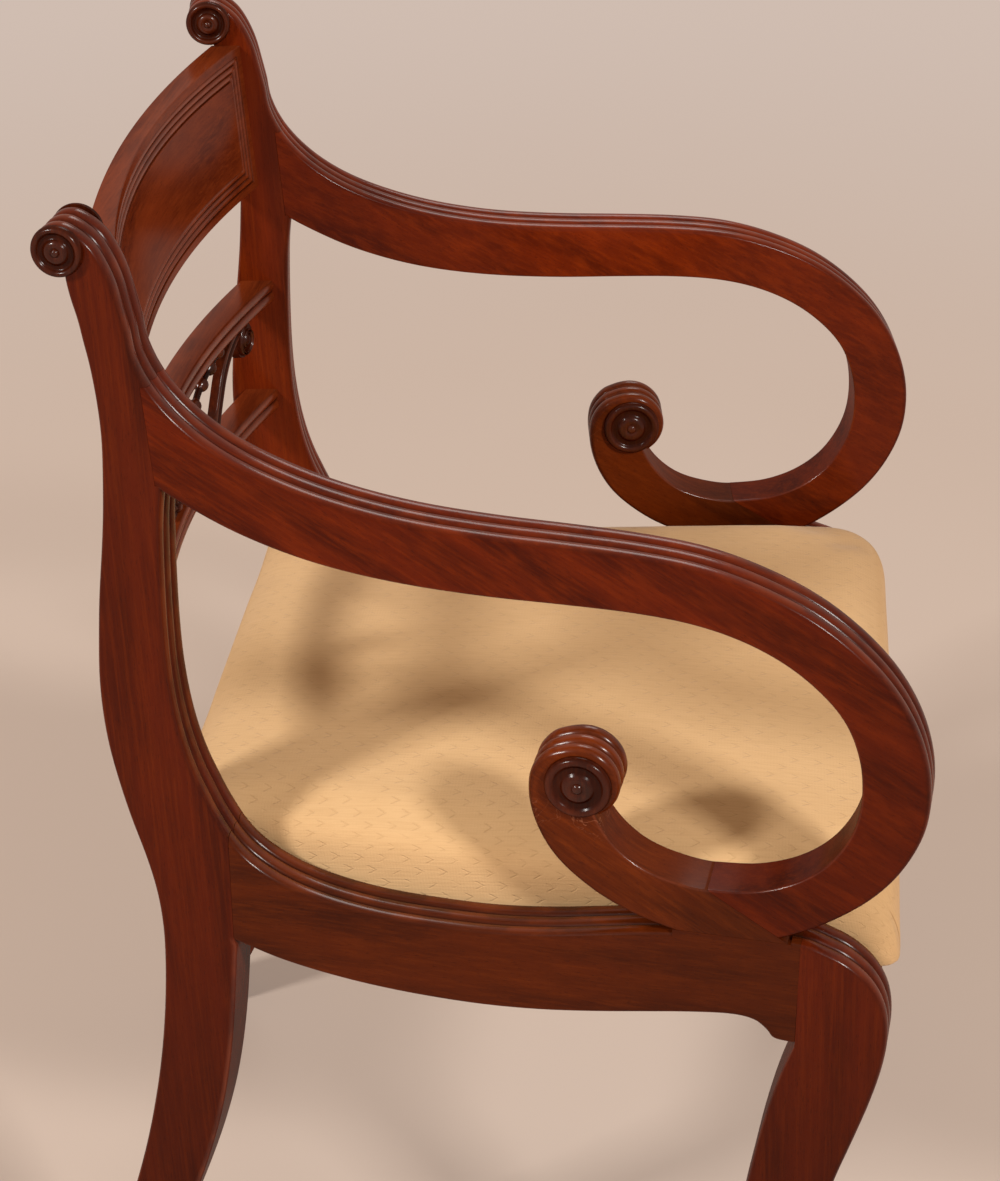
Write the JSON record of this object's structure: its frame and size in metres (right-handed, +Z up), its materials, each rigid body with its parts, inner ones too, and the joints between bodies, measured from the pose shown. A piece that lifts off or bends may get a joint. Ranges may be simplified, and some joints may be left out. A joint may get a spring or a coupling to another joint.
{
  "type": "scroll-arm dining chair with lyre back",
  "caption": "Open armchair with reeded scrolling arms that loop to the seat rails, sabre legs, a bowed crest, a lyre between cross rails and an upholstered seat that drops in.",
  "frame": {"origin": "middle of the chair's footprint box, on the floor", "axes": "+Z up; the sitter faces -Y; +X is to the sitter's left"},
  "size_m": [0.568, 0.5698, 0.8502],
  "materials": {
    "mahogany": "French-polished red-brown mahogany, glossy",
    "carved_mahogany": "French-polished turned and carved mahogany",
    "beech": "plain sawn beech, unpolished",
    "seat_fabric": "pale gold woven cover with small raised marks",
    "jute": "woven jute webbing and hessian",
    "base_cloth": "dark cotton dust cover",
    "screw_steel": "dull steel"
  },
  "bodies": {
    "chair_frame": {"crest_rail": "mahogany", "front_rail": "mahogany", "left_arm": "mahogany", "left_arm_roundel_inner": "carved_mahogany", "left_arm_roundel_outer": "carved_mahogany", "left_arm_screw": "screw_steel", "left_arm_scroll": "mahogany", "left_front_corner_block": "beech", "left_front_leg": "mahogany", "left_front_rail_screw": "screw_steel", "left_front_side_screw": "screw_steel", "left_lyre_arm": "carved_mahogany", "left_pearl_strand": "carved_mahogany", "left_rear_corner_block": "beech", "left_rear_rail_screw": "screw_steel", "left_rear_side_screw": "screw_steel", "left_scarf_dowel": "beech", "left_seat_ledge": "beech", "left_side_rail": "mahogany", "left_top_roundel_inner": "carved_mahogany", "left_top_roundel_outer": "carved_mahogany", "left_upright": "mahogany", "lower_cross_rail": "mahogany", "lyre_boss": "carved_mahogany", "lyre_string_centre": "carved_mahogany", "lyre_string_left": "carved_mahogany", "lyre_string_right": "carved_mahogany", "rear_rail": "mahogany", "right_arm": "mahogany", "right_arm_roundel_inner": "carved_mahogany", "right_arm_roundel_outer": "carved_mahogany", "right_arm_screw": "screw_steel", "right_arm_scroll": "mahogany", "right_front_corner_block": "beech", "right_front_leg": "mahogany", "right_front_rail_screw": "screw_steel", "right_front_side_screw": "screw_steel", "right_lyre_arm": "carved_mahogany", "right_pearl_strand": "carved_mahogany", "right_rear_corner_block": "beech", "right_rear_rail_screw": "screw_steel", "right_rear_side_screw": "screw_steel", "right_scarf_dowel": "beech", "right_seat_ledge": "beech", "right_side_rail": "mahogany", "right_top_roundel_inner": "carved_mahogany", "right_top_roundel_outer": "carved_mahogany", "right_upright": "mahogany", "upper_cross_rail": "mahogany"},
    "drop_in_seat": {"seat_base_cloth": "base_cloth", "seat_frame_front_bar": "beech", "seat_frame_left_bar": "beech", "seat_frame_rear_bar": "beech", "seat_frame_right_bar": "beech", "seat_hessian": "jute", "seat_pad": "seat_fabric", "seat_webbing": "jute"}
  },
  "joints": [
    {"name": "seat_lift", "type": "slide", "parent": "chair_frame", "child": "drop_in_seat", "axis": [0, 0, 1], "range_m": [0, 0.055]}
  ]
}
